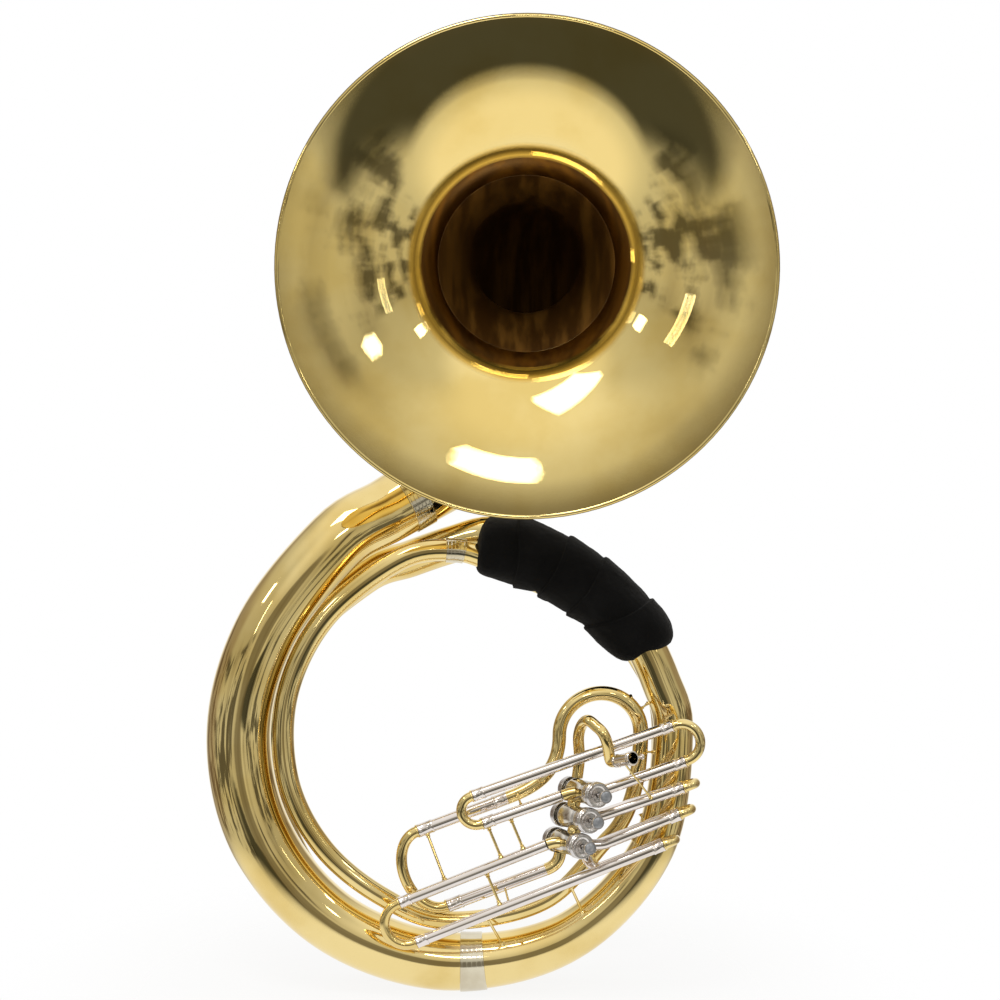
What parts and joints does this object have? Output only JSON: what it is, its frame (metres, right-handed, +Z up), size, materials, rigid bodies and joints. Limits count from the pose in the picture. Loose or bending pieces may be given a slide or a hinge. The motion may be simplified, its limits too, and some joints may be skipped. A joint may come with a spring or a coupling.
{
  "type": "helicon",
  "caption": "Forward-bell helicon bass: brass body wound round the player, flared bell that turns in a collar, piston valves, telescoping slides and a wrapped shoulder pad.",
  "frame": {"origin": "the point under the middle of the shoulder pad where the instrument rests on the player's shoulder", "axes": "+Z up, the bell opens towards -Y, +X to the listener's right, where the valves are"},
  "size_m": [0.7777, 0.4623, 1.3809],
  "materials": {
    "lacquered_brass": "polished and lacquered",
    "bell_brass": "mirror polished and lacquered",
    "nickel_silver": "polished",
    "satin_silver": "satin",
    "button_pearl": "gloss",
    "pad_wrap": "matt cloth wrap",
    "spring_steel": "drawn wire"
  },
  "bodies": {
    "horn": {"inner_branch": "lacquered_brass", "inner_ferrule": "nickel_silver", "rear_branch": "lacquered_brass", "rear_ferrule": "nickel_silver", "shoulder_branch": "lacquered_brass", "bottom_ferrule": "nickel_silver", "large_branch": "lacquered_brass", "top_ferrule": "nickel_silver", "bell_branch": "lacquered_brass", "bell_collar": "nickel_silver", "collar_screw_1": "satin_silver", "collar_screw_2": "satin_silver", "collar_screw_3": "satin_silver", "first_upper_tube": "nickel_silver", "first_lower_tube": "nickel_silver", "first_return_tube": "nickel_silver", "second_front_tube": "nickel_silver", "second_rear_tube": "nickel_silver", "third_upper_tube": "nickel_silver", "third_lower_tube": "nickel_silver", "third_return_front_tube": "nickel_silver", "third_return_rear_tube": "nickel_silver", "main_lower_tube": "nickel_silver", "main_upper_tube": "nickel_silver", "loop_branch": "lacquered_brass", "leadpipe": "lacquered_brass", "receiver": "nickel_silver", "shoulder_pad": "pad_wrap", "casing_1": "satin_silver", "casing_2": "satin_silver", "casing_3": "satin_silver", "top_cap_1": "satin_silver", "top_cap_2": "satin_silver", "top_cap_3": "satin_silver", "bottom_cap_1": "satin_silver", "bottom_cap_2": "satin_silver", "bottom_cap_3": "satin_silver", "valve_spring_1": "spring_steel", "valve_spring_2": "spring_steel", "valve_spring_3": "spring_steel"},
    "bell_section": {"bell": "bell_brass"},
    "first_piston": {"piston_1": "satin_silver", "finger_button_1": "button_pearl"},
    "second_piston": {"piston_2": "satin_silver", "finger_button_2": "button_pearl"},
    "third_piston": {"piston_3": "satin_silver", "finger_button_3": "button_pearl"},
    "first_left_slide": {"first_left_crook": "lacquered_brass"},
    "first_right_slide": {"first_right_crook": "lacquered_brass"},
    "second_slide": {"second_crook": "lacquered_brass"},
    "third_left_slide": {"third_left_crook": "lacquered_brass"},
    "third_upper_slide": {"third_upper_crook": "lacquered_brass"},
    "third_lower_slide": {"third_lower_crook": "lacquered_brass"},
    "main_slide": {"main_crook": "lacquered_brass"}
  },
  "joints": [
    {"name": "bell_swivel", "type": "hinge", "parent": "horn", "child": "bell_section", "pos_m": [-0.0399, 0.129, 0.3432], "axis": [0, 0, 1], "continuous": true},
    {"name": "first_valve", "type": "slide", "parent": "horn", "child": "first_piston", "axis": [-0.4199, 0.9005, -0.1132], "range_m": [0, 0.017], "stiffness_N_per_m": 250, "springref_m": -0.008, "deforming": ["valve_spring_1"]},
    {"name": "second_valve", "type": "slide", "parent": "horn", "child": "second_piston", "axis": [-0.4199, 0.9005, -0.1132], "range_m": [0, 0.017], "stiffness_N_per_m": 250, "springref_m": -0.008, "deforming": ["valve_spring_2"]},
    {"name": "third_valve", "type": "slide", "parent": "horn", "child": "third_piston", "axis": [-0.4199, 0.9005, -0.1132], "range_m": [0, 0.017], "stiffness_N_per_m": 250, "springref_m": -0.008, "deforming": ["valve_spring_3"]},
    {"name": "first_left_pull", "type": "slide", "parent": "horn", "child": "first_left_slide", "axis": [-0.9409, 0, -0.3387], "range_m": [0, 0.045]},
    {"name": "first_right_pull", "type": "slide", "parent": "horn", "child": "first_right_slide", "axis": [0.9409, 0, 0.3387], "range_m": [0, 0.045]},
    {"name": "second_pull", "type": "slide", "parent": "horn", "child": "second_slide", "axis": [0.9432, 0, 0.3322], "range_m": [0, 0.045]},
    {"name": "third_left_pull", "type": "slide", "parent": "horn", "child": "third_left_slide", "axis": [-0.9259, 0, -0.3778], "range_m": [0, 0.045]},
    {"name": "third_upper_pull", "type": "slide", "parent": "horn", "child": "third_upper_slide", "axis": [0.9259, 0, 0.3778], "range_m": [0, 0.045]},
    {"name": "third_lower_pull", "type": "slide", "parent": "horn", "child": "third_lower_slide", "axis": [0.9259, 0, 0.3778], "range_m": [0, 0.03]},
    {"name": "main_pull", "type": "slide", "parent": "horn", "child": "main_slide", "axis": [-0.9342, 0, -0.3567], "range_m": [0, 0.05]}
  ]
}
